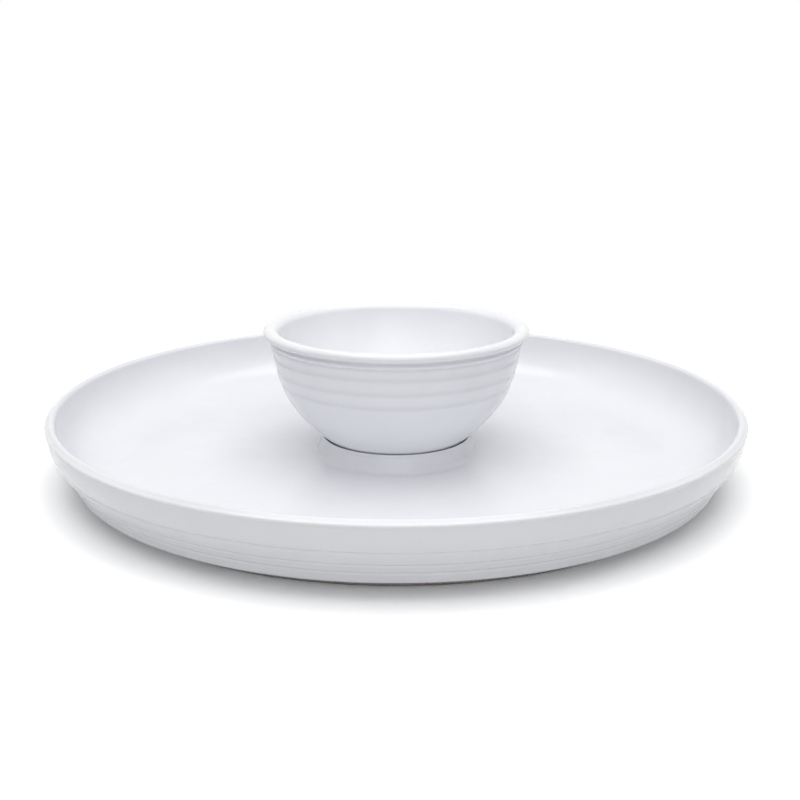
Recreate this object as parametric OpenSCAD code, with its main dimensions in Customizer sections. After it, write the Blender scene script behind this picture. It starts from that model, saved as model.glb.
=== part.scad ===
// Chip and dip server: a round stoneware platter with a raised seat at its
// centre, and a dip bowl that stands in that seat and lifts straight out.
// Millimetres, +Z up, origin at the centre of the face that it stands on.

/* [Platter] */
// Diameter over the rim
platter_d = 330; // [320:2:340]
// Height of the rim above the table
platter_h = 35; // [34:0.5:37]
// Height of the chip well's floor above the table
well_floor_z = 8; // [7.5:0.5:9]
// Thickness of the floor under the chip well
floor_t = 5; // [4.5:0.5:5.5]
// Width of the rounded rim
rim_w = 4.6; // [4:0.2:5.2]

/* [Platter foot] */
// Diameter over the foot ring
foot_d = 285.6; // [280:0.4:288]
// Width of the foot ring
foot_w = 6.4; // [5:0.2:8]

/* [Seat for the bowl] */
// Inner diameter of the seat at the well's floor
seat_d = 66; // [65:0.5:67]
// Height of the seat's crest above the well's floor
seat_h = 8.6; // [8:0.2:8.8]

/* [Dip bowl] */
// Diameter over the bowl's rim
bowl_d = 127.2; // [126:0.4:129]
// Height of the bowl from its foot to its rim
bowl_h = 62.5; // [61.5:0.5:63.5]
// Diameter over the bowl's foot ring
bowl_foot_d = 62; // [61:0.5:63]

/* [Ring lines] */
// Depth of the fine lines around the platter's wall
line_depth = 0.45; // [0.3:0.05:0.6]
// Depth of the shallow rings around the bowl
ring_depth = 0.5; // [0.3:0.05:0.7]

/* [Hidden] */
$fn = 160;

platter_r = platter_d / 2;
foot_r = foot_d / 2;
foot_in = foot_r - foot_w;
seat_r = seat_d / 2;
bowl_r = bowl_d / 2;
bowl_foot_r = bowl_foot_d / 2;
bowl_top_z = well_floor_z + bowl_h;
under_z = well_floor_z - floor_t;
crest_z = well_floor_z + seat_h;

// One point of the cubic curve that leaves a towards b and reaches d from c
function curve_point(a, b, c, d, t) =
    let (u = 1 - t)
    u * u * u * a + 3 * u * u * t * b + 3 * u * t * t * c + t * t * t * d;

// The curve's points in order. The first, a, is left out.
function curve(a, b, c, d, steps) = [
    for (i = [1 : steps]) curve_point(a, b, c, d, i / steps)
];

// Platter, outside: the wall leaves a low edge beside the foot, swells out to a
// soft shoulder and goes up to the rim almost upright
edge = [foot_r + 10.8, 7.2];
edge_bend = edge + [3.9, 10.3];
wall_bend = [platter_r - 0.8, 19.5];
wall_top = [platter_r - 0.5, platter_h - 3.4];

// Its rim: a tight outer edge, a flat crown and a soft inner edge
rim_edge = [platter_r, platter_h - 2.1];
rim_crown = [platter_r - rim_w / 2, platter_h];
rim_in = [platter_r - rim_w, platter_h - 1.8];

// Inside: one hollow curve from the rim to the flat of the chip well
well_bend_high = rim_in - [2.1, 13.2];
well_flat = [platter_r - 39, well_floor_z];
well_bend_low = well_flat + [24, 0];

// Seat, from outside to inside: a steep flare that rises from a tight fillet, a
// narrow crest that slopes in under the bowl's wall, and an upright inner face
flare_foot = [seat_r + 8.6, well_floor_z];
flare_low = [seat_r + 5.6, well_floor_z + 2.4];
flare_top = [seat_r + 3.5, crest_z - 1.0];
crest = [seat_r + 2.9, crest_z - 0.1];
crest_in = [seat_r + 1.3, crest_z - 2.0];
seat_in = [seat_r + 0.9, well_floor_z + 1.5];

function foot_outline() = [
    [0, under_z],
    [foot_in - 2.4, under_z],
    [foot_in - 0.7, under_z - 0.6],
    [foot_in, under_z - 1.8],
    [foot_in + 0.2, 0.4],
    [foot_in + 0.8, 0],
    [foot_r - 0.8, 0],
    [foot_r - 0.2, 0.5],
    [foot_r + 0.1, 2.6],
    [foot_r + 1.0, 3.6],
    [edge[0] - 1.6, edge[1] - 1.5],
];

function seat_outline() = concat(
    [flare_foot],
    curve(flare_foot, flare_foot - [1.9, 0], flare_low + [0.5, -1.4], flare_low, 7),
    curve(flare_low, flare_low + [-0.6, 1.8], flare_top + [0.3, -1.6], flare_top, 7),
    curve(flare_top, flare_top + [-0.1, 0.6], crest + [0.3, 0.1], crest, 4),
    curve(crest, crest - [0.6, 0.3], crest_in + [0.3, 0.9], crest_in, 5),
    [seat_in],
    curve(seat_in, seat_in - [0, 1.0], [seat_r + 0.6, well_floor_z], [seat_r, well_floor_z], 5),
    [[0, well_floor_z]]
);

module platter_outline() {
    polygon(concat(
        foot_outline(),
        curve([edge[0] - 1.6, edge[1] - 1.5], [edge[0] - 0.6, edge[1] - 1.1],
              edge - [0.3, 0.8], edge, 5),
        curve(edge, edge_bend, wall_bend, wall_top, 30),
        curve(wall_top, wall_top + [0.1, 0.7], rim_edge - [0, 0.7], rim_edge, 4),
        curve(rim_edge, rim_edge + [0, 1.2], rim_crown + [1.3, 0], rim_crown, 8),
        curve(rim_crown, rim_crown - [1.3, 0], rim_in + [0.2, 1.0], rim_in, 8),
        curve(rim_in, well_bend_high, well_bend_low, well_flat, 28),
        seat_outline()
    ));
}

// A fine line cut around the platter's wall at one fraction of its curve
module wall_line(fraction) {
    cutter_r = 0.9;
    on_wall = curve_point(edge, edge_bend, wall_bend, wall_top, fraction);
    rotate_extrude()
        translate(on_wall + (cutter_r - line_depth) * [0.85, -0.53])
            circle(r = cutter_r, $fn = 24);
}

module platter() {
    color([0.93, 0.93, 0.94])
    difference() {
        rotate_extrude() platter_outline();
        for (fraction = [0.12, 0.30, 0.62])
            wall_line(fraction);
    }
}

// Bowl, outside: from the top of its foot ring to the groove under its rim
body_low = [bowl_foot_r + 0.3, well_floor_z + 5.5];
body_bend_low = body_low + [21.9, 17.9];
body_bend_high = [bowl_r - 7.0, bowl_top_z - 30.1];
body_high = [bowl_r - 3.4, bowl_top_z - 5.5];

// Its rim: a bead outside and a crown that slopes down to the inside
bead_r = 2;
bead = [bowl_r - bead_r, bowl_top_z - bead_r];
lip_in = [bowl_r - 7.3, bowl_top_z - 3.1];

// Inside: one hollow curve from the rim to the flat of the floor
inside_bend_high = lip_in - [1.7, 20.4];
bowl_flat = [14, well_floor_z + 8.6];
inside_bend_low = bowl_flat + [28.5, 0];

// The thin ring under the bead
thin_ring_r = 0.75;
thin_ring = [bowl_r - 3.35, bowl_top_z - 6.4];

function bowl_foot_outline() = [
    [0, well_floor_z + 3],
    [bowl_foot_r - 6.5, well_floor_z + 3],
    [bowl_foot_r - 5, well_floor_z + 1.6],
    [bowl_foot_r - 4.5, well_floor_z + 0.4],
    [bowl_foot_r - 3.9, well_floor_z],
    [bowl_foot_r - 0.8, well_floor_z],
    [bowl_foot_r - 0.1, well_floor_z + 0.6],
    [bowl_foot_r, well_floor_z + 4.2],
    body_low,
];

module bowl_outline() {
    polygon(concat(
        bowl_foot_outline(),
        curve(body_low, body_bend_low, body_bend_high, body_high, 34),
        [bead],
        [bead + [0, bead_r]],
        curve(bead + [0, bead_r], bead + [-2.4, bead_r], lip_in + [0.7, 2.4], lip_in, 8),
        curve(lip_in, inside_bend_high, inside_bend_low, bowl_flat, 32),
        [[0, bowl_flat[1]]]
    ));
}

// A shallow ring cut around the bowl at one fraction of its outside curve
module bowl_ring(fraction) {
    cutter_r = 2.6;
    on_body = curve_point(body_low, body_bend_low, body_bend_high, body_high, fraction);
    rotate_extrude()
        translate(on_body + [cutter_r - ring_depth, 0])
            circle(r = cutter_r, $fn = 40);
}

module dip_bowl() {
    color([0.95, 0.95, 0.96])
    difference() {
        rotate_extrude() {
            bowl_outline();
            translate(bead) circle(r = bead_r, $fn = 40);
            translate(thin_ring) circle(r = thin_ring_r, $fn = 24);
        }
        for (fraction = [0.65, 0.78, 0.89])
            bowl_ring(fraction);
    }
}

platter();
dip_bowl();
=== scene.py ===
"""Chip and dip server: a white stoneware platter and the dip bowl that stands in its seat."""

from math import exp, hypot, pi, radians

import bpy
from bpy.props import FloatProperty, FloatVectorProperty, PointerProperty
from bpy.types import Operator, Panel, PropertyGroup
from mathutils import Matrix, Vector


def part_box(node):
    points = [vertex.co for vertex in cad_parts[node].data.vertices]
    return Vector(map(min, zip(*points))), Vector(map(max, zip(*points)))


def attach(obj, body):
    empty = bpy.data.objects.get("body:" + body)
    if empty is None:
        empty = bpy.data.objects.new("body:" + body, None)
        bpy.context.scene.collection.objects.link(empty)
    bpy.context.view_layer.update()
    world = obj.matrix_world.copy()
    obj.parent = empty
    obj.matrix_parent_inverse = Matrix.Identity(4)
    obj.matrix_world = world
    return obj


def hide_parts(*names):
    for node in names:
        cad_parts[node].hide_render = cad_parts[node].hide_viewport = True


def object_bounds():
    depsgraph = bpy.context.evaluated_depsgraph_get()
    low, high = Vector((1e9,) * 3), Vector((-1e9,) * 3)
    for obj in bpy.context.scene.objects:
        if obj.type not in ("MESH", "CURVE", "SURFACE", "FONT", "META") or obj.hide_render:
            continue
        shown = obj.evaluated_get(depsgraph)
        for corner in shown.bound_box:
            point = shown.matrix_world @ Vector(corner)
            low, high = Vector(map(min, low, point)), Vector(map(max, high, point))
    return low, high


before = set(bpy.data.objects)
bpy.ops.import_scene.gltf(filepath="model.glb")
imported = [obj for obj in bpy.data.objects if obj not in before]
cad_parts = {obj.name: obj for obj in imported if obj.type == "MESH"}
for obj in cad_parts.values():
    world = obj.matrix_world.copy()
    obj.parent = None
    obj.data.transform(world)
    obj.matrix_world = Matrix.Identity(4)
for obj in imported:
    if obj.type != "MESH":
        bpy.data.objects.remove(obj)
CAD_LOW, CAD_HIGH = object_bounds()

bl_info = {
    "name": "Chip and dip server",
    "version": (1, 0, 0),
    "blender": (4, 5, 0),
    "location": "View3D > Sidebar > Server",
    "description": "Models a two-piece stoneware chip and dip server with its glaze and studio",
    "category": "Object",
}

MM = 0.001
PLATTER_STEPS = 224  # facets around the platter
BOWL_STEPS = 192  # facets around the bowl
PLATTER_BARE_AND_SHADE = 2.2 * MM  # bare clay this high up the platter's foot, taken high and grey to paint the shade under the wall
BOWL_BARE = 0.6 * MM  # bare clay this high up the bowl's foot
WHITE = (1, 1, 1, 1)
PLATTER_LOW, PLATTER_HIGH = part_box("platter")
BOWL_LOW, BOWL_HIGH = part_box("dip_bowl")


# ---------------------------------------------------------------- sizes and looks


def length(name, description, default, low=0.0, high=1.0):
    """A length property in metres."""
    return FloatProperty(name=name, description=description, default=default,
                         min=low, max=high, unit="LENGTH", precision=4)


class PlatterSizes(PropertyGroup):
    """Sizes of the platter."""

    radius: length("Radius", "Radius over the rim", PLATTER_HIGH.x)
    height: length("Height", "Height of the rim above the table", PLATTER_HIGH.z)
    rim_width: length("Rim width", "Width of the rounded rim", 4.6 * MM)
    foot_radius: length("Foot radius", "Outer radius of the foot ring", 142.8 * MM)
    foot_width: length("Foot width", "Width of the foot ring", 6.4 * MM)
    floor_height: length("Floor height", "Top of the chip well's floor", BOWL_LOW.z)
    floor_thickness: length("Floor thickness", "Clay under the chip well", 5 * MM)
    seat_radius: length("Seat radius", "Inner radius of the seat for the bowl", 33 * MM)
    seat_height: length("Seat height", "Height of the seat's crest over the floor", 8.6 * MM)
    line_depth: length("Line depth", "Depth of the fine lines around the wall", 0.45 * MM)


class BowlSizes(PropertyGroup):
    """Sizes of the dip bowl."""

    radius: length("Radius", "Radius over the bead at the rim", 63.6 * MM)
    height: length("Height", "Height from the foot to the rim", BOWL_HIGH.z - BOWL_LOW.z)
    foot_height: length("Foot level", "Height that the bowl's foot stands at", BOWL_LOW.z)
    foot_radius: length("Foot radius", "Outer radius of the foot ring", 31 * MM)
    bead_radius: length("Bead radius", "Radius of the bead's own section", 2 * MM)
    ring_depth: length("Ring depth", "Depth of the shallow rings around the wall", 0.26 * MM)


class GlazeLook(PropertyGroup):
    """Colours and gloss of the glazed stoneware."""

    glaze_colour: FloatVectorProperty(name="Glaze", description="Colour of the white glaze",
                                      subtype="COLOR", size=3, min=0, max=1,
                                      default=(0.815, 0.825, 0.86))
    # Painted light: a lighter copy of the platter's glaze, making up for light the lamps don't give
    # the bowl
    bowl_brightened_colour: FloatVectorProperty(name="Bowl glaze", description="Colour of the bowl's glaze",
                                     subtype="COLOR", size=3, min=0, max=1,
                                     default=(0.90, 0.906, 0.935))
    # Painted shade: this darker, cooler tone is laid in the grooves where shade falls, and also
    # gives the glaze's random drifts
    drift_and_groove_shade_colour: FloatVectorProperty(name="Thick glaze", description="Glaze where it pools",
                                      subtype="COLOR", size=3, min=0, max=1,
                                      default=(0.73, 0.745, 0.785))
    # Painted light: this edge tone is lighter than the platter's glaze, a painted highlight on its
    # rim edge and seat crest, and keeps the bowl's lit bead below the bowl's painted brightening
    edge_light_colour: FloatVectorProperty(name="Thin glaze", description="Glaze where it runs thin",
                                     subtype="COLOR", size=3, min=0, max=1,
                                     default=(0.835, 0.84, 0.86))
    # Partly painted shade: the bare clay is grey and dark so that the platter's foot band also
    # paints the shade under the wall
    clay_and_shade_colour: FloatVectorProperty(name="Bare clay", description="Unglazed stoneware",
                                     subtype="COLOR", size=3, min=0, max=1,
                                     default=(0.46, 0.44, 0.41))
    roughness: FloatProperty(name="Roughness", description="Roughness of the glaze",
                             default=0.20, min=0.02, max=0.6, subtype="FACTOR")


class StudioLook(PropertyGroup):
    """Camera, lamps and floor."""

    camera_distance: length("Camera distance", "Level distance to the camera", 0.540, 0.1, 5)
    camera_height: length("Camera height", "Height of the camera", 0.1848, 0.01, 5)
    camera_tilt: FloatProperty(name="Camera tilt", description="Angle below the level",
                               default=radians(15.71), subtype="ANGLE")
    focal_length: FloatProperty(name="Focal length", description="Lens in millimetres",
                                default=51.67, min=10, max=300)
    shift: FloatProperty(name="Shift", description="Sideways lens shift", default=0.00466)
    overhead_power: FloatProperty(name="Overhead", description="Power of the overhead lamp",
                                  default=12.1, min=0, subtype="POWER")
    fill_power: FloatProperty(name="Fill", description="Power of each side lamp",
                              default=0.6, min=0, subtype="POWER")
    front_power: FloatProperty(name="Front", description="Power of the lamp over the camera",
                               default=3.5, min=0, subtype="POWER")
    sky_strength: FloatProperty(name="Sky", description="Strength of the soft surroundings",
                                default=0.26, min=0, max=2)
    floor_size: length("Floor size", "Side of the floor", 6.0, 1, 50)


# ---------------------------------------------------------------- outlines


def curve_point(a, b, c, d, t):
    """One point of the cubic curve that leaves a towards b and reaches d from c."""
    u = 1 - t
    return a * u**3 + b * (3 * u * u * t) + c * (3 * u * t * t) + d * t**3


def curve(a, b, c, d, steps):
    """Points along the curve in order, without the first."""
    return [curve_point(a, b, c, d, i / steps) for i in range(1, steps + 1)]


def point(r, z):
    """A point of an outline: distance from the axis, and height."""
    return Vector((r, z))


def groove(at, depth, above, below):
    """A groove across an outline: its place, its depth and how far it fades each way."""
    return {"at": at, "depth": depth, "above": above, "below": below}


def groove_share(place, cut):
    """How much of a groove's depth reaches a place, from 0 to 1."""
    reach = cut["above"] if place.y > cut["at"].y else cut["below"]
    return exp(-((place - cut["at"]).length / reach) ** 2)


def carved(points, cuts):
    """The outline with each groove sunk into it, square to the surface."""
    result = []
    for i, here in enumerate(points):
        along = points[min(i + 1, len(points) - 1)] - points[max(i - 1, 0)]
        inward = Vector((-along.y, along.x)).normalized()
        sunk = sum(cut["depth"] * groove_share(here, cut) for cut in cuts)
        result.append(here + inward * sunk)
    return result


def platter_wall(sizes):
    """The four points that steer the outer wall's curve."""
    edge = point(sizes.foot_radius + 10.8 * MM, 7.2 * MM)
    top = point(sizes.radius - 0.5 * MM, sizes.height - 3.4 * MM)
    bend_high = point(sizes.radius - 0.8 * MM, 19.5 * MM)
    return edge, edge + point(3.9 * MM, 10.3 * MM), bend_high, top


def platter_lines(sizes):
    """The fine lines that run around the outer wall."""
    wall = platter_wall(sizes)
    return [groove(curve_point(*wall, share), sizes.line_depth, 0.7 * MM, 0.45 * MM)
            for share in (0.12, 0.30, 0.62)]


def platter_foot(sizes):
    """The underside and the foot ring, from the axis out to the wall's low edge."""
    under = sizes.floor_height - sizes.floor_thickness
    inner = sizes.foot_radius - sizes.foot_width
    outer = sizes.foot_radius
    edge = platter_wall(sizes)[0]
    points = [point(inner * share, under) for share in (0, 0.1, 0.3, 0.5, 0.7, 0.85, 0.95)]
    start = point(inner - 2.4 * MM, under)
    points.append(start)
    points += curve(start, start + point(1.6 * MM, 0), point(inner, under - 0.6 * MM),
                    point(inner + 0.1 * MM, under - 1.9 * MM), 6)
    low = point(inner + 0.9 * MM, 0)
    points += curve(points[-1], point(inner + 0.1 * MM, 0.3 * MM),
                    low - point(0.5 * MM, 0), low, 5)
    points += [point(inner + share * (outer - inner), 0) for share in (0.35, 0.6)]
    high = point(outer - 0.9 * MM, 0)
    points.append(high)
    points += curve(high, high + point(0.6 * MM, 0), point(outer - 0.1 * MM, 0.4 * MM),
                    point(outer, 1.3 * MM), 5)
    hollow = edge - point(1.8 * MM, 1.6 * MM)
    points += curve(points[-1], point(outer + 0.2 * MM, 3.2 * MM),
                    point(outer + 1.2 * MM, 3.8 * MM), point(outer + 3 * MM, 4.2 * MM), 6)
    points += curve(points[-1], points[-1] + point(2 * MM, 0.3 * MM),
                    hollow - point(1.2 * MM, 0.3 * MM), hollow, 6)
    points += curve(hollow, hollow + point(1.2 * MM, 0.4 * MM),
                    edge - point(0.4 * MM, 0.9 * MM), edge, 6)
    return points


def platter_rim(sizes):
    """The rim: a small step under its tight outer edge, a flat crown, a soft inner edge."""
    start = platter_wall(sizes)[3]
    edge = point(sizes.radius, sizes.height - 2.2 * MM)
    shoulder = point(sizes.radius - 0.8 * MM, sizes.height - 1.15 * MM)
    crown = point(sizes.radius - sizes.rim_width / 2 - 0.4 * MM, sizes.height)
    inner = point(sizes.radius - sizes.rim_width, sizes.height - 1.8 * MM)
    points = curve(start, start + point(-0.05 * MM, 0.6 * MM),
                   edge - point(0, 0.6 * MM), edge, 7)
    points += curve(edge, edge + point(0, 0.6 * MM),
                    shoulder + point(0.4 * MM, -0.22 * MM), shoulder, 8)
    points += curve(shoulder, shoulder + point(-0.7 * MM, 0.4 * MM),
                    crown + point(0.8 * MM, 0), crown, 10)
    points += curve(crown, crown - point(0.9 * MM, 0),
                    inner + point(0.2 * MM, 1.0 * MM), inner, 12)
    return points


def platter_well(sizes):
    """The hollow inner wall and the flat of the chip well, down to the seat."""
    start = platter_rim(sizes)[-1]
    flat = point(sizes.radius - 39 * MM, sizes.floor_height)
    foot = point(sizes.seat_radius + 8.6 * MM, sizes.floor_height)
    points = curve(start, start - point(2.1 * MM, 13.2 * MM), flat + point(24 * MM, 0), flat, 40)
    shares = (0.12, 0.25, 0.38, 0.5, 0.62, 0.74, 0.84, 0.92, 1)
    points += [flat.lerp(foot, share) for share in shares]
    return points


def platter_seat(sizes):
    """The raised seat from its outer fillet to the middle of its floor."""
    r, floor = sizes.seat_radius, sizes.floor_height
    top = floor + sizes.seat_height
    foot = point(r + 8.6 * MM, floor)
    low = point(r + 5.6 * MM, floor + 2.4 * MM)
    high = point(r + 3.5 * MM, top - 1.0 * MM)
    crest = point(r + 2.9 * MM, top - 0.1 * MM)
    inner = point(r + 1.3 * MM, top - 2.0 * MM)
    well = point(r + 0.9 * MM, floor + 1.5 * MM)
    points = curve(foot, foot - point(1.9 * MM, 0), low + point(0.5 * MM, -1.4 * MM), low, 12)
    points += curve(low, low + point(-0.6 * MM, 1.8 * MM),
                    high + point(0.3 * MM, -1.6 * MM), high, 12)
    points += curve(high, high + point(-0.1 * MM, 0.6 * MM),
                    crest + point(0.3 * MM, 0.1 * MM), crest, 6)
    points += curve(crest, crest - point(0.6 * MM, 0.3 * MM),
                    inner + point(0.3 * MM, 0.9 * MM), inner, 8)
    points += [inner.lerp(well, share) for share in (0.33, 0.67, 1)]
    points += curve(well, well - point(0, 1.0 * MM), point(r + 0.6 * MM, floor), point(r, floor), 7)
    points += [point(r * share, floor) for share in (0.85, 0.7, 0.5, 0.3, 0.15, 0)]
    return points


def platter_outline(sizes):
    """The platter's whole half section, from the axis underneath to the axis on top."""
    wall = carved(curve(*platter_wall(sizes), 110), platter_lines(sizes))
    return (platter_foot(sizes) + wall + platter_rim(sizes)
            + platter_well(sizes) + platter_seat(sizes))


def bowl_wall(sizes):
    """The four points that steer the bowl's outer wall."""
    top = sizes.foot_height + sizes.height
    low = point(sizes.foot_radius + 0.3 * MM, sizes.foot_height + 5.5 * MM)
    return (low, low + point(21.9 * MM, 17.9 * MM),
            point(sizes.radius - 7 * MM, top - 30.1 * MM),
            point(sizes.radius - 3.5 * MM, top - 8.2 * MM))


def bowl_rings(sizes):
    """The shallow rings that run around the bowl's wall."""
    wall = bowl_wall(sizes)
    return [groove(curve_point(*wall, share), sizes.ring_depth, 1.9 * MM, 0.8 * MM)
            for share in (0.665, 0.80, 0.925)]


def bowl_foot(sizes):
    """The bowl's underside and foot ring, out to the start of its wall."""
    floor, r = sizes.foot_height, sizes.foot_radius
    hollow = floor + 3 * MM
    points = [point((r - 6.5 * MM) * share, hollow) for share in (0, 0.2, 0.5, 0.75, 0.9, 1)]
    points += curve(points[-1], points[-1] + point(1.1 * MM, 0),
                    point(r - 4.8 * MM, floor + 1.8 * MM), point(r - 4.6 * MM, floor + 0.8 * MM), 6)
    points += curve(points[-1], point(r - 4.5 * MM, floor + 0.2 * MM),
                    point(r - 4.3 * MM, floor), point(r - 3.7 * MM, floor), 5)
    points += [point(r - 2.8 * MM, floor), point(r - 1.8 * MM, floor), point(r - 0.9 * MM, floor)]
    points += curve(points[-1], point(r - 0.3 * MM, floor), point(r - 0.05 * MM, floor + 0.3 * MM),
                    point(r, floor + 1.0 * MM), 5)
    points += curve(points[-1], point(r + 0.1 * MM, floor + 3.2 * MM),
                    point(r - 0.5 * MM, floor + 4.6 * MM), bowl_wall(sizes)[0], 8)
    return points


def bowl_rim(sizes):
    """The groove, the thin ring and the bead around the rim, then the crown and inner lip."""
    top = sizes.foot_height + sizes.height
    r, bead = sizes.radius, sizes.bead_radius
    start = bowl_wall(sizes)[3]
    ring_low = point(r - 3.5 * MM, top - 7.5 * MM)
    ring = point(r - 2.7 * MM, top - 6.4 * MM)
    ring_high = point(r - 3.7 * MM, top - 5.5 * MM)
    under = point(r - 2.9 * MM, top - 4.3 * MM)
    side = point(r, top - bead - 0.2 * MM)
    crown = point(r - bead - 0.6 * MM, top)
    lip = point(r - 7.3 * MM, top - 3.1 * MM)
    points = curve(start, start + point(0, 0.3 * MM),
                   ring_low - point(0.2 * MM, 0.2 * MM), ring_low, 4)
    points += curve(ring_low, ring_low + point(0.5 * MM, 0.3 * MM),
                    ring - point(0, 0.6 * MM), ring, 7)
    points += curve(ring, ring + point(0, 0.5 * MM),
                    ring_high + point(0.5 * MM, -0.2 * MM), ring_high, 7)
    points += curve(ring_high, ring_high + point(-0.25 * MM, 0.3 * MM),
                    under - point(0.9 * MM, 0.1 * MM), under, 7)
    points += curve(under, under + point(1.9 * MM, 0), side - point(0, 1.0 * MM), side, 10)
    points += curve(side, side + point(0, 1.0 * MM),
                    crown + point(1.5 * MM, -0.1 * MM), crown, 12)
    points += curve(crown, crown - point(1.9 * MM, 0),
                    lip + point(0.7 * MM, 2.2 * MM), lip, 14)
    return points


def bowl_inside(sizes):
    """The hollow of the bowl, from its lip to the middle of its floor."""
    lip = bowl_rim(sizes)[-1]
    flat = point(14 * MM, sizes.foot_height + 8.6 * MM)
    points = curve(lip, lip - point(1.7 * MM, 20.4 * MM), flat + point(28.5 * MM, 0), flat, 70)
    points += [flat.lerp(point(0, flat.y), share) for share in (0.25, 0.5, 0.75, 1)]
    return points


def bowl_outline(sizes):
    """The bowl's whole half section, from the axis underneath to the axis inside."""
    wall = carved(curve(*bowl_wall(sizes), 150), bowl_rings(sizes))
    return bowl_foot(sizes) + wall + bowl_rim(sizes) + bowl_inside(sizes)


# ---------------------------------------------------------------- mesh work


def thrown(name, outline, steps):
    """A piece turned on the wheel: the outline drawn point by point, then spun right round."""
    bpy.ops.object.select_all(action="DESELECT")
    first = outline[0]
    bpy.ops.mesh.primitive_plane_add(size=1 * MM, location=(first.x, 0, first.y))
    piece = bpy.context.object
    piece.name = name
    piece.data.name = name
    bpy.ops.object.transform_apply(location=True, rotation=True, scale=True)
    bpy.ops.object.mode_set(mode="EDIT")
    bpy.ops.mesh.select_all(action="SELECT")
    bpy.ops.mesh.merge(type="CENTER")
    for start, end in zip(outline, outline[1:]):
        step = (end.x - start.x, 0, end.y - start.y)
        bpy.ops.mesh.extrude_region_move(TRANSFORM_OT_translate={"value": step})
    bpy.ops.mesh.select_all(action="SELECT")
    bpy.ops.mesh.spin(steps=steps, angle=2 * pi, center=(0, 0, 0), axis=(0, 0, 1))
    bpy.ops.mesh.select_all(action="SELECT")
    bpy.ops.mesh.remove_doubles(threshold=0.01 * MM)
    bpy.ops.mesh.normals_make_consistent(inside=False)
    bpy.ops.object.mode_set(mode="OBJECT")
    bpy.ops.object.shade_smooth()
    return piece


def mark_groove_shade_and_edge_light(piece, shaded_grooves, lit_edges):
    """Stores where light and shade are painted: above zero in the grooves, for painted shade, below
    zero on the lit edges, for the painted edge tone.
    """
    layer = piece.data.attributes.new("glaze", "FLOAT", "POINT")
    for vertex, value in zip(piece.data.vertices, layer.data):
        place = point(hypot(vertex.co.x, vertex.co.y), vertex.co.z)
        groove_shaded = max((groove_share(place, cut) for cut in shaded_grooves), default=0)
        thin = max(exp(-((place - edge).length / reach) ** 2) for edge, reach in lit_edges)
        value.value = groove_shaded - thin


# ---------------------------------------------------------------- materials


def node(tree, kind, inputs=None, **settings):
    """A shader node with its settings and its unlinked inputs filled in."""
    made = tree.nodes.new(kind)
    for name, value in settings.items():
        setattr(made, name, value)
    for name, value in (inputs or {}).items():
        made.inputs[name].default_value = value
    return made


def noise(tree, coords, scale, detail, seed_shift=0.0):
    """Fractal noise on the piece's own coordinates."""
    spread = node(tree, "ShaderNodeMapping", {"Location": (seed_shift, seed_shift, 0)})
    tree.links.new(coords, spread.inputs["Vector"])
    made = node(tree, "ShaderNodeTexNoise", {"Scale": scale, "Detail": detail})
    tree.links.new(spread.outputs["Vector"], made.inputs["Vector"])
    return made.outputs["Fac"]


def ramp(tree, source, low, high, to_low=0.0, to_high=1.0):
    """Maps one range of a value to another, held inside it."""
    made = node(tree, "ShaderNodeMapRange", {"From Min": low, "From Max": high,
                                             "To Min": to_low, "To Max": to_high})
    tree.links.new(source, made.inputs["Value"])
    return made.outputs["Result"]


def math(tree, operation, first, second):
    """One arithmetic step. Either side is a socket or a number."""
    made = node(tree, "ShaderNodeMath", operation=operation)
    for socket, value in zip(made.inputs, (first, second)):
        if isinstance(value, (int, float)):
            socket.default_value = value
        else:
            tree.links.new(value, socket)
    return made.outputs["Value"]


def colour_mix(tree, factor, first, second):
    """Blends two colours. Each is a socket or a plain colour."""
    made = node(tree, "ShaderNodeMix", data_type="RGBA")
    tree.links.new(factor, made.inputs["Factor"])
    for name, value in (("A", first), ("B", second)):
        socket = [s for s in made.inputs if s.name == name and s.type == "RGBA"][0]
        if isinstance(value, bpy.types.NodeSocket):
            tree.links.new(value, socket)
        else:
            socket.default_value = (*value, 1)
    return [s for s in made.outputs if s.type == "RGBA"][0]


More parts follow.
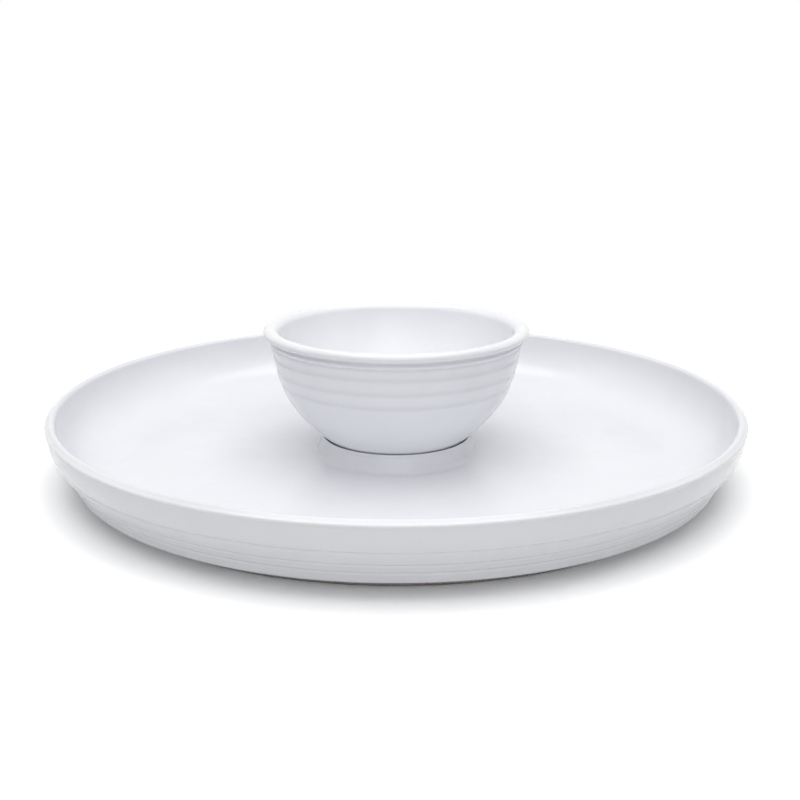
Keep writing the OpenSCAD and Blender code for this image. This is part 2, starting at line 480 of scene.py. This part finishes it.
def glazed_stoneware(name, look, colour, bare_and_shade_below, ring_radius):
    """White glaze over stoneware, wiped off the foot ring's face, with painted shade in the grooves
    and a painted edge tone on the lit edges; on the platter the bare band is wide and dark enough
    to paint the shade under the wall.
    """
    material = bpy.data.materials.new(name)
    material.use_nodes = True
    tree = material.node_tree
    shader = tree.nodes["Principled BSDF"]
    coords = node(tree, "ShaderNodeTexCoord").outputs["Object"]
    split = node(tree, "ShaderNodeSeparateXYZ")
    tree.links.new(coords, split.inputs["Vector"])

    broad = noise(tree, coords, 14, 3)
    cloudy = noise(tree, coords, 55, 4, 0.3)
    fine = noise(tree, coords, 420, 3, 0.7)
    glaze = node(tree, "ShaderNodeAttribute", attribute_name="glaze").outputs["Fac"]

    # Glaze colour: slow drifts, painted shade in the grooves, and a painted edge tone on the lit
    # edges, which is a painted highlight on the platter and holds the bowl's lit bead back from its
    # painted brightening
    drift = math(tree, "ADD", math(tree, "MULTIPLY", broad, 0.6),
                 math(tree, "MULTIPLY", cloudy, 0.4))
    drifted = ramp(tree, drift, 0.62, 0.35, 0, 0.16)
    base = colour_mix(tree, drifted, colour, look.drift_and_groove_shade_colour)
    groove_shade = ramp(tree, glaze, 0.1, 1.0, 0, 0.45)
    groove_shaded = colour_mix(tree, groove_shade, base, look.drift_and_groove_shade_colour)
    thin = ramp(tree, glaze, -0.1, -1.0, 0, 0.7)
    edged = colour_mix(tree, thin, groove_shaded, look.edge_light_colour)

    # Bare clay on the foot's face, with a slightly uneven glaze line; on the platter the band
    # reaches higher than the foot to paint the shade under the wall
    ring = math(tree, "SQRT", math(tree, "ADD", math(tree, "POWER", split.outputs["X"], 2.0),
                                   math(tree, "POWER", split.outputs["Y"], 2.0)), 0.0)
    off_ring = math(tree, "ABSOLUTE", math(tree, "SUBTRACT", ring, ring_radius), 0.0)
    on_ring = ramp(tree, off_ring, 4.6 * MM, 4.2 * MM)
    wander = math(tree, "MULTIPLY", math(tree, "SUBTRACT", cloudy, 0.5), 1.2 * MM)
    low = ramp(tree, math(tree, "ADD", split.outputs["Z"], wander),
               bare_and_shade_below + 0.12 * MM, bare_and_shade_below - 0.12 * MM)
    bare_and_shaded = math(tree, "MULTIPLY", low, on_ring)
    specks = noise(tree, coords, 1500, 2, 1.1)
    clay = colour_mix(tree, ramp(tree, specks, 0.35, 0.75), look.clay_and_shade_colour,
                      [0.62 * channel for channel in look.clay_and_shade_colour])
    tree.links.new(colour_mix(tree, bare_and_shaded, edged, clay), shader.inputs["Base Color"])

    # Gloss: slightly streaky, and matt on bare clay
    gloss = ramp(tree, cloudy, 0.3, 0.7, look.roughness * 0.75, look.roughness * 1.3)
    rough = node(tree, "ShaderNodeMix", data_type="FLOAT")
    tree.links.new(bare_and_shaded, rough.inputs["Factor"])
    tree.links.new(gloss, rough.inputs["A"])
    rough.inputs["B"].default_value = 0.85
    tree.links.new(rough.outputs["Result"], shader.inputs["Roughness"])
    shader.inputs["IOR"].default_value = 1.5

    # Relief: soft undulation of the glaze, a faint orange peel, and grain on bare clay
    soft = node(tree, "ShaderNodeBump", {"Strength": 0.35, "Distance": 0.5 * MM})
    tree.links.new(cloudy, soft.inputs["Height"])
    peel = node(tree, "ShaderNodeBump", {"Strength": 0.12, "Distance": 0.06 * MM})
    tree.links.new(fine, peel.inputs["Height"])
    tree.links.new(soft.outputs["Normal"], peel.inputs["Normal"])
    grain = node(tree, "ShaderNodeBump", {"Distance": 0.15 * MM})
    tree.links.new(specks, grain.inputs["Height"])
    tree.links.new(bare_and_shaded, grain.inputs["Strength"])
    tree.links.new(peel.outputs["Normal"], grain.inputs["Normal"])
    tree.links.new(grain.outputs["Normal"], shader.inputs["Normal"])
    return material


def shown_ray(tree):
    """One for rays that show a surface: from the camera, mirrored or passed through glass."""
    path = node(tree, "ShaderNodeLightPath").outputs
    seen = math(tree, "MAXIMUM", path["Is Camera Ray"], path["Is Glossy Ray"])
    return math(tree, "MAXIMUM", seen, path["Is Transmission Ray"])


def floor_material():
    """A white sweep: it keeps shadows near the server and runs out to plain white."""
    material = bpy.data.materials.new("white_sweep")
    material.use_nodes = True
    tree = material.node_tree
    tree.nodes.clear()
    seen = shown_ray(tree)
    paper = node(tree, "ShaderNodeBsdfDiffuse")
    shade = colour_mix(tree, seen, (0.80, 0.80, 0.80), (1.22, 1.22, 1.22))
    tree.links.new(shade, paper.inputs["Color"])
    glow = node(tree, "ShaderNodeEmission", {"Color": WHITE, "Strength": 1.0})
    coords = node(tree, "ShaderNodeTexCoord").outputs["Object"]
    far = node(tree, "ShaderNodeVectorMath", operation="LENGTH")
    tree.links.new(coords, far.inputs[0])
    share = ramp(tree, far.outputs["Value"], 0.30, 0.60)
    mix = node(tree, "ShaderNodeMixShader")
    tree.links.new(math(tree, "MULTIPLY", share, seen), mix.inputs["Fac"])
    tree.links.new(paper.outputs["BSDF"], mix.inputs[1])
    tree.links.new(glow.outputs["Emission"], mix.inputs[2])
    output = node(tree, "ShaderNodeOutputMaterial")
    tree.links.new(mix.outputs["Shader"], output.inputs["Surface"])
    return material


# ---------------------------------------------------------------- operators


def finish_piece(piece, body, cad_node, material):
    """Gives a piece its material and its place in the frame."""
    piece.data.materials.clear()
    piece.data.materials.append(material)
    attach(piece, body)
    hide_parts(cad_node)


class SERVER_OT_platter(Operator):
    """Model the platter with its foot, ringed wall, rim, chip well and seat"""

    bl_idname = "server.platter"
    bl_label = "Platter"

    def execute(self, context):
        sizes = context.scene.server_platter
        look = context.scene.server_glaze
        piece = thrown("stoneware_platter", platter_outline(sizes), PLATTER_STEPS)
        seat_top = sizes.floor_height + sizes.seat_height
        # The rim edge and the seat crest get the lighter edge tone, a painted highlight
        lit_edges = [
            (point(sizes.radius, sizes.height - 1.4 * MM), 1.6 * MM),
            (point(sizes.seat_radius + 3.1 * MM, seat_top), 1.2 * MM),
        ]
        mark_groove_shade_and_edge_light(piece, platter_lines(sizes), lit_edges)
        ring = sizes.foot_radius - sizes.foot_width / 2
        material = glazed_stoneware("platter_glaze", look, look.glaze_colour,
                                    PLATTER_BARE_AND_SHADE, ring)
        finish_piece(piece, "platter", "platter", material)
        return {"FINISHED"}


class SERVER_OT_dip_bowl(Operator):
    """Model the dip bowl with its foot, ringed wall, beaded rim and hollow"""

    bl_idname = "server.dip_bowl"
    bl_label = "Dip bowl"

    def execute(self, context):
        sizes = context.scene.server_bowl
        look = context.scene.server_glaze
        piece = thrown("stoneware_dip_bowl", bowl_outline(sizes), BOWL_STEPS)
        top = sizes.foot_height + sizes.height
        # The two grooves of depth nothing only darken the colour: painted shade in the grooves
        # under the bead
        groove_shade_marks = bowl_rings(sizes) + [
            groove(point(sizes.radius - 3.5 * MM, top - 4.7 * MM), 0, 0.6 * MM, 0.6 * MM),
            groove(point(sizes.radius - 3.6 * MM, top - 7.7 * MM), 0, 0.8 * MM, 0.8 * MM),
        ]
        # The bead gets the edge tone, held back from the bowl's painted brightening where the lamps
        # already light it
        lit_edges = [(point(sizes.radius - 1.2 * MM, top - 0.6 * MM), 2.4 * MM)]
        mark_groove_shade_and_edge_light(piece, groove_shade_marks, lit_edges)
        ring = sizes.foot_radius - 2.4 * MM
        material = glazed_stoneware("bowl_glaze", look, look.bowl_brightened_colour,
                                    sizes.foot_height + BOWL_BARE, ring)
        finish_piece(piece, "dip_bowl", "dip_bowl", material)
        return {"FINISHED"}


def area_lamp(name, place, target, size, power):
    """Adds a soft square lamp that faces a point."""
    bpy.ops.object.light_add(type="AREA", location=place)
    lamp = bpy.context.object
    lamp.name = name
    lamp.data.size = size
    lamp.data.energy = power
    aim = Vector(target) - Vector(place)
    lamp.rotation_euler = aim.to_track_quat("-Z", "Y").to_euler()


class SERVER_OT_stage(Operator):
    """Set the white floor, the surroundings, the lamps and the camera"""

    bl_idname = "server.stage"
    bl_label = "Stage"

    def execute(self, context):
        look = context.scene.server_studio
        bpy.ops.object.select_all(action="DESELECT")
        bpy.ops.mesh.primitive_plane_add(size=look.floor_size, location=(0, 0, 0))
        floor = context.object
        floor.name = "floor"
        floor.data.materials.append(floor_material())

        world = bpy.data.worlds.new("soft_surroundings")
        context.scene.world = world
        world.use_nodes = True
        tree = world.node_tree
        tree.nodes.clear()
        seen = shown_ray(tree)
        strength = node(tree, "ShaderNodeMix", data_type="FLOAT")
        tree.links.new(seen, strength.inputs["Factor"])
        strength.inputs["A"].default_value = look.sky_strength
        strength.inputs["B"].default_value = 1.0
        sky = node(tree, "ShaderNodeBackground", {"Color": WHITE})
        tree.links.new(strength.outputs["Result"], sky.inputs["Strength"])
        output = node(tree, "ShaderNodeOutputWorld")
        tree.links.new(sky.outputs["Background"], output.inputs["Surface"])

        middle = (0, 0, CAD_HIGH.z / 2)
        area_lamp("overhead_lamp", (0, -0.05, 1.15), middle, 1.25, look.overhead_power)
        area_lamp("left_lamp", (-1.1, 0.35, 0.75), middle, 0.6, look.fill_power)
        area_lamp("right_lamp", (1.1, 0.35, 0.75), middle, 0.6, look.fill_power)

        area_lamp("front_lamp", (0, -1.2, 0.75), middle, 1.0, look.front_power)

        tilt = pi / 2 - look.camera_tilt
        bpy.ops.object.camera_add(location=(0, -look.camera_distance, look.camera_height),
                                  rotation=(tilt, 0, 0))
        camera = context.object
        camera.data.lens = look.focal_length
        camera.data.shift_x = look.shift
        context.scene.camera = camera
        context.scene.view_settings.view_transform = "Standard"
        return {"FINISHED"}


class SERVER_PT_panel(Panel):
    """Sizes, looks and steps of the chip and dip server"""

    bl_label = "Chip and dip server"
    bl_idname = "SERVER_PT_panel"
    bl_space_type = "VIEW_3D"
    bl_region_type = "UI"
    bl_category = "Server"

    def draw(self, context):
        for title, group in (("Platter", context.scene.server_platter),
                             ("Dip bowl", context.scene.server_bowl),
                             ("Glaze", context.scene.server_glaze),
                             ("Studio", context.scene.server_studio)):
            box = self.layout.box()
            box.label(text=title)
            for name in group.bl_rna.properties.keys():
                if name not in ("rna_type", "name"):
                    box.prop(group, name)
        for operator in (SERVER_OT_platter, SERVER_OT_dip_bowl, SERVER_OT_stage):
            self.layout.operator(operator.bl_idname)


CLASSES = (PlatterSizes, BowlSizes, GlazeLook, StudioLook,
           SERVER_OT_platter, SERVER_OT_dip_bowl, SERVER_OT_stage, SERVER_PT_panel)


def register():
    for cls in CLASSES:
        bpy.utils.register_class(cls)
    bpy.types.Scene.server_platter = PointerProperty(type=PlatterSizes)
    bpy.types.Scene.server_bowl = PointerProperty(type=BowlSizes)
    bpy.types.Scene.server_glaze = PointerProperty(type=GlazeLook)
    bpy.types.Scene.server_studio = PointerProperty(type=StudioLook)


def unregister():
    for name in ("server_studio", "server_glaze", "server_bowl", "server_platter"):
        delattr(bpy.types.Scene, name)
    for cls in reversed(CLASSES):
        bpy.utils.unregister_class(cls)


def main():
    register()
    bpy.ops.server.stage()
    bpy.ops.server.platter()
    bpy.ops.server.dip_bowl()


if __name__ == "__main__":
    main()
